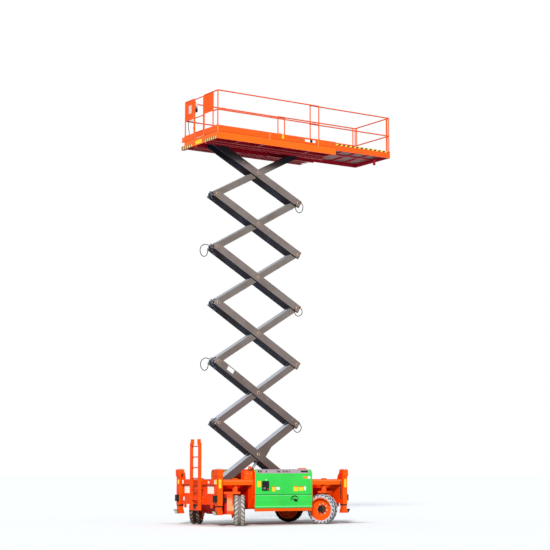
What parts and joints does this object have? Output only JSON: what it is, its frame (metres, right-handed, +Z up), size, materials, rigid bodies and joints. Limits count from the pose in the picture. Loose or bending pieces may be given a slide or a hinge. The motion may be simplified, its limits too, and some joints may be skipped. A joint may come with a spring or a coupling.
{
  "type": "scissor lift",
  "caption": "Self-propelled scissor lift with crossed arms, a railed platform with a roll-out extension, side pods, corner outriggers and steered lugged wheels.",
  "frame": {"origin": "on the ground, at the middle of the whole machine's length and width as it stands", "axes": "+Z up, +X towards the end that the platform's extension rolls out of, -Y the near side in the picture"},
  "size_m": [6.273, 2.734, 12.0392],
  "materials": {
    "chassis_orange": "gloss paint, scuffed",
    "platform_orange": "gloss paint",
    "ladder_orange": "gloss paint, worn treads",
    "hood_green": "gloss paint",
    "arm_grey": "satin paint",
    "leg_steel": "satin",
    "knuckle_orange": "satin paint",
    "rim_orange": "gloss paint",
    "tyre_rubber": "worn",
    "bumper_rubber": "moulded",
    "barrel_grey": "satin paint",
    "rod_chrome": "polished",
    "engine_grey": "painted",
    "beacon_amber": "clear amber",
    "box_black": "textured",
    "hose_black": "matte",
    "floor_metal": "chequer plate"
  },
  "bodies": {
    "chassis": {"chassis_spine": "chassis_orange", "side_beams": "chassis_orange", "outrigger_tubes": "chassis_orange", "end_frames": "chassis_orange", "rubber_bumpers": "bumper_rubber", "ladder": "ladder_orange", "pod_trays": "chassis_orange", "engine_block": "engine_grey", "saddle_box": "chassis_orange", "beacon": "beacon_amber", "scissor_base": "chassis_orange"},
    "hood_near": {"hood_near": "hood_green"},
    "hood_far": {"hood_far": "hood_green"},
    "leg_rear_near": {"outrigger_leg_rear_near": "leg_steel"},
    "knuckle_rear_near": {"knuckle_rear_near": "knuckle_orange"},
    "wheel_rear_near": {"rim_rear_near": "rim_orange", "tyre_rear_near": "tyre_rubber"},
    "leg_rear_far": {"outrigger_leg_rear_far": "leg_steel"},
    "knuckle_rear_far": {"knuckle_rear_far": "knuckle_orange"},
    "wheel_rear_far": {"rim_rear_far": "rim_orange", "tyre_rear_far": "tyre_rubber"},
    "leg_front_near": {"outrigger_leg_front_near": "leg_steel"},
    "knuckle_front_near": {"knuckle_front_near": "knuckle_orange"},
    "wheel_front_near": {"rim_front_near": "rim_orange", "tyre_front_near": "tyre_rubber"},
    "leg_front_far": {"outrigger_leg_front_far": "leg_steel"},
    "knuckle_front_far": {"knuckle_front_far": "knuckle_orange"},
    "wheel_front_far": {"rim_front_far": "rim_orange", "tyre_front_far": "tyre_rubber"},
    "inner_arm_1": {"inner_arm_1": "arm_grey"},
    "outer_arm_1": {"outer_arm_1": "arm_grey"},
    "inner_arm_2": {"inner_arm_2": "arm_grey"},
    "outer_arm_2": {"outer_arm_2": "arm_grey", "hose_1": "hose_black", "hose_2": "hose_black"},
    "inner_arm_3": {"inner_arm_3": "arm_grey"},
    "outer_arm_3": {"outer_arm_3": "arm_grey"},
    "inner_arm_4": {"inner_arm_4": "arm_grey"},
    "outer_arm_4": {"outer_arm_4": "arm_grey", "hose_3": "hose_black", "hose_4": "hose_black"},
    "inner_arm_5": {"inner_arm_5": "arm_grey"},
    "outer_arm_5": {"outer_arm_5": "arm_grey"},
    "inner_arm_6": {"inner_arm_6": "arm_grey"},
    "outer_arm_6": {"outer_arm_6": "arm_grey", "hose_5": "hose_black"},
    "platform": {"deck_frame": "platform_orange", "deck_floor": "floor_metal", "toe_boards": "platform_orange", "side_rails": "platform_orange", "rear_rails": "platform_orange", "control_box": "box_black", "control_cable": "hose_black"},
    "entry_gate": {"entry_gate": "platform_orange"},
    "extension": {"extension_frame": "platform_orange", "extension_floor": "floor_metal", "extension_side_rails": "platform_orange", "extension_rail_front": "platform_orange"},
    "cylinder_barrel": {"cylinder_barrel": "barrel_grey"},
    "cylinder_rod": {"cylinder_rod": "rod_chrome"}
  },
  "joints": [
    {"name": "hood_near_hinge", "type": "hinge", "parent": "chassis", "child": "hood_near", "pos_m": [-0.8715, -0.44, 1.505], "axis": [-1, 0, 0], "range_deg": [0, 75]},
    {"name": "hood_far_hinge", "type": "hinge", "parent": "chassis", "child": "hood_far", "pos_m": [-0.8715, 0.44, 1.505], "axis": [1, 0, 0], "range_deg": [0, 75]},
    {"name": "leg_rear_near_slide", "type": "slide", "parent": "chassis", "child": "leg_rear_near", "axis": [0, 0, -1], "range_m": [0, 0.45]},
    {"name": "steer_rear_near", "type": "hinge", "parent": "chassis", "child": "knuckle_rear_near", "pos_m": [-2.3535, -0.9, 1.05], "axis": [0, 0, -1], "range_deg": [0, 107]},
    {"name": "spin_rear_near", "type": "hinge", "parent": "knuckle_rear_near", "child": "wheel_rear_near", "pos_m": [-2.25597, -0.96094, 0.42], "axis": [0.848, -0.5299, 0], "continuous": true},
    {"name": "leg_rear_far_slide", "type": "slide", "parent": "chassis", "child": "leg_rear_far", "axis": [0, 0, -1], "range_m": [0, 0.45]},
    {"name": "steer_rear_far", "type": "hinge", "parent": "chassis", "child": "knuckle_rear_far", "pos_m": [-2.3535, 0.9, 1.05], "axis": [0, 0, -1], "range_deg": [0, 107]},
    {"name": "spin_rear_far", "type": "hinge", "parent": "knuckle_rear_far", "child": "wheel_rear_far", "pos_m": [-2.44029, 0.97545, 0.42], "axis": [-0.7547, 0.6561, 0], "continuous": true},
    {"name": "leg_front_near_slide", "type": "slide", "parent": "chassis", "child": "leg_front_near", "axis": [0, 0, -1], "range_m": [0, 0.45]},
    {"name": "steer_front_near", "type": "hinge", "parent": "chassis", "child": "knuckle_front_near", "pos_m": [0.6105, -0.9, 1.05], "axis": [0, 0, 1], "range_deg": [0, 107]},
    {"name": "spin_front_near", "type": "hinge", "parent": "knuckle_front_near", "child": "wheel_front_near", "pos_m": [0.51297, -0.96094, 0.42], "axis": [-0.848, -0.5299, 0], "continuous": true},
    {"name": "leg_front_far_slide", "type": "slide", "parent": "chassis", "child": "leg_front_far", "axis": [0, 0, -1], "range_m": [0, 0.45]},
    {"name": "steer_front_far", "type": "hinge", "parent": "chassis", "child": "knuckle_front_far", "pos_m": [0.6105, 0.9, 1.05], "axis": [0, 0, 1], "range_deg": [0, 107]},
    {"name": "spin_front_far", "type": "hinge", "parent": "knuckle_front_far", "child": "wheel_front_far", "pos_m": [0.69729, 0.97545, 0.42], "axis": [0.7547, 0.6561, 0], "continuous": true},
    {"name": "lift", "type": "hinge", "parent": "chassis", "child": "inner_arm_1", "pos_m": [-2.4225, 0, 1.039], "axis": [0, -1, 0], "range_deg": [-23, 14.5]},
    {"name": "stage_1_centre_pin", "type": "hinge", "parent": "inner_arm_1", "child": "outer_arm_1", "pos_m": [-1.13955, 0, 1.937], "axis": [0, -1, 0], "range_deg": [-29, 46]},
    {"name": "stage_2_end_pin", "type": "hinge", "parent": "outer_arm_1", "child": "inner_arm_2", "pos_m": [-2.44369, 0, 2.80393], "axis": [0, -1, 0], "range_deg": [-46, 29]},
    {"name": "stage_2_centre_pin", "type": "hinge", "parent": "inner_arm_2", "child": "outer_arm_2", "pos_m": [-1.13955, 0, 3.67087], "axis": [0, -1, 0], "range_deg": [-29, 46]},
    {"name": "stage_3_end_pin", "type": "hinge", "parent": "outer_arm_2", "child": "inner_arm_3", "pos_m": [-2.46413, 0, 4.50624], "axis": [0, -1, 0], "range_deg": [-46, 29]},
    {"name": "stage_3_centre_pin", "type": "hinge", "parent": "inner_arm_3", "child": "outer_arm_3", "pos_m": [-1.13955, 0, 5.34162], "axis": [0, -1, 0], "range_deg": [-29, 46]},
    {"name": "stage_4_end_pin", "type": "hinge", "parent": "outer_arm_3", "child": "inner_arm_4", "pos_m": [-2.4838, 0, 6.14496], "axis": [0, -1, 0], "range_deg": [-46, 29]},
    {"name": "stage_4_centre_pin", "type": "hinge", "parent": "inner_arm_4", "child": "outer_arm_4", "pos_m": [-1.13955, 0, 6.94829], "axis": [0, -1, 0], "range_deg": [-29, 46]},
    {"name": "stage_5_end_pin", "type": "hinge", "parent": "outer_arm_4", "child": "inner_arm_5", "pos_m": [-2.5027, 0, 7.71912], "axis": [0, -1, 0], "range_deg": [-46, 29]},
    {"name": "stage_5_centre_pin", "type": "hinge", "parent": "inner_arm_5", "child": "outer_arm_5", "pos_m": [-1.13955, 0, 8.48995], "axis": [0, -1, 0], "range_deg": [-29, 46]},
    {"name": "stage_6_end_pin", "type": "hinge", "parent": "outer_arm_5", "child": "inner_arm_6", "pos_m": [-2.52081, 0, 9.22783], "axis": [0, -1, 0], "range_deg": [-46, 29]},
    {"name": "stage_6_centre_pin", "type": "hinge", "parent": "inner_arm_6", "child": "outer_arm_6", "pos_m": [-1.13955, 0, 9.96571], "axis": [0, -1, 0], "range_deg": [-29, 46]},
    {"name": "platform_level_pin", "type": "hinge", "parent": "outer_arm_6", "child": "platform", "pos_m": [-2.53813, 0, 10.67021], "axis": [0, -1, 0], "range_deg": [-23, 14.5]},
    {"name": "gate_hinge", "type": "hinge", "parent": "platform", "child": "entry_gate", "pos_m": [-2.9575, 0.4, 11.54621], "axis": [0, 0, 1], "range_deg": [0, 90]},
    {"name": "extension_slide", "type": "slide", "parent": "platform", "child": "extension", "axis": [1, 0, 0], "range_m": [-1.9, 0]},
    {"name": "barrel_pivot", "type": "hinge", "parent": "chassis", "child": "cylinder_barrel", "pos_m": [-1.7225, 0, 0.929], "axis": [0, -1, 0], "range_deg": [-30.93, 19.5]},
    {"name": "rod_slide", "type": "slide", "parent": "cylinder_barrel", "child": "cylinder_rod", "axis": [0.6341, 0, 0.7732], "range_m": [-0.21877, 0.13866]}
  ],
  "couplings": [
    {"joint": "stage_1_centre_pin", "follows": "lift", "ratio": -2},
    {"joint": "stage_2_end_pin", "follows": "lift", "ratio": 2},
    {"joint": "stage_2_centre_pin", "follows": "lift", "ratio": -2},
    {"joint": "stage_3_end_pin", "follows": "lift", "ratio": 2},
    {"joint": "stage_3_centre_pin", "follows": "lift", "ratio": -2},
    {"joint": "stage_4_end_pin", "follows": "lift", "ratio": 2},
    {"joint": "stage_4_centre_pin", "follows": "lift", "ratio": -2},
    {"joint": "stage_5_end_pin", "follows": "lift", "ratio": 2},
    {"joint": "stage_5_centre_pin", "follows": "lift", "ratio": -2},
    {"joint": "stage_6_end_pin", "follows": "lift", "ratio": 2},
    {"joint": "stage_6_centre_pin", "follows": "lift", "ratio": -2},
    {"joint": "platform_level_pin", "follows": "lift", "ratio": 1},
    {"joint": "barrel_pivot", "follows": "lift", "ratio": 1.345},
    {"joint": "rod_slide", "follows": "lift", "m_per_rad": 0.54}
  ]
}
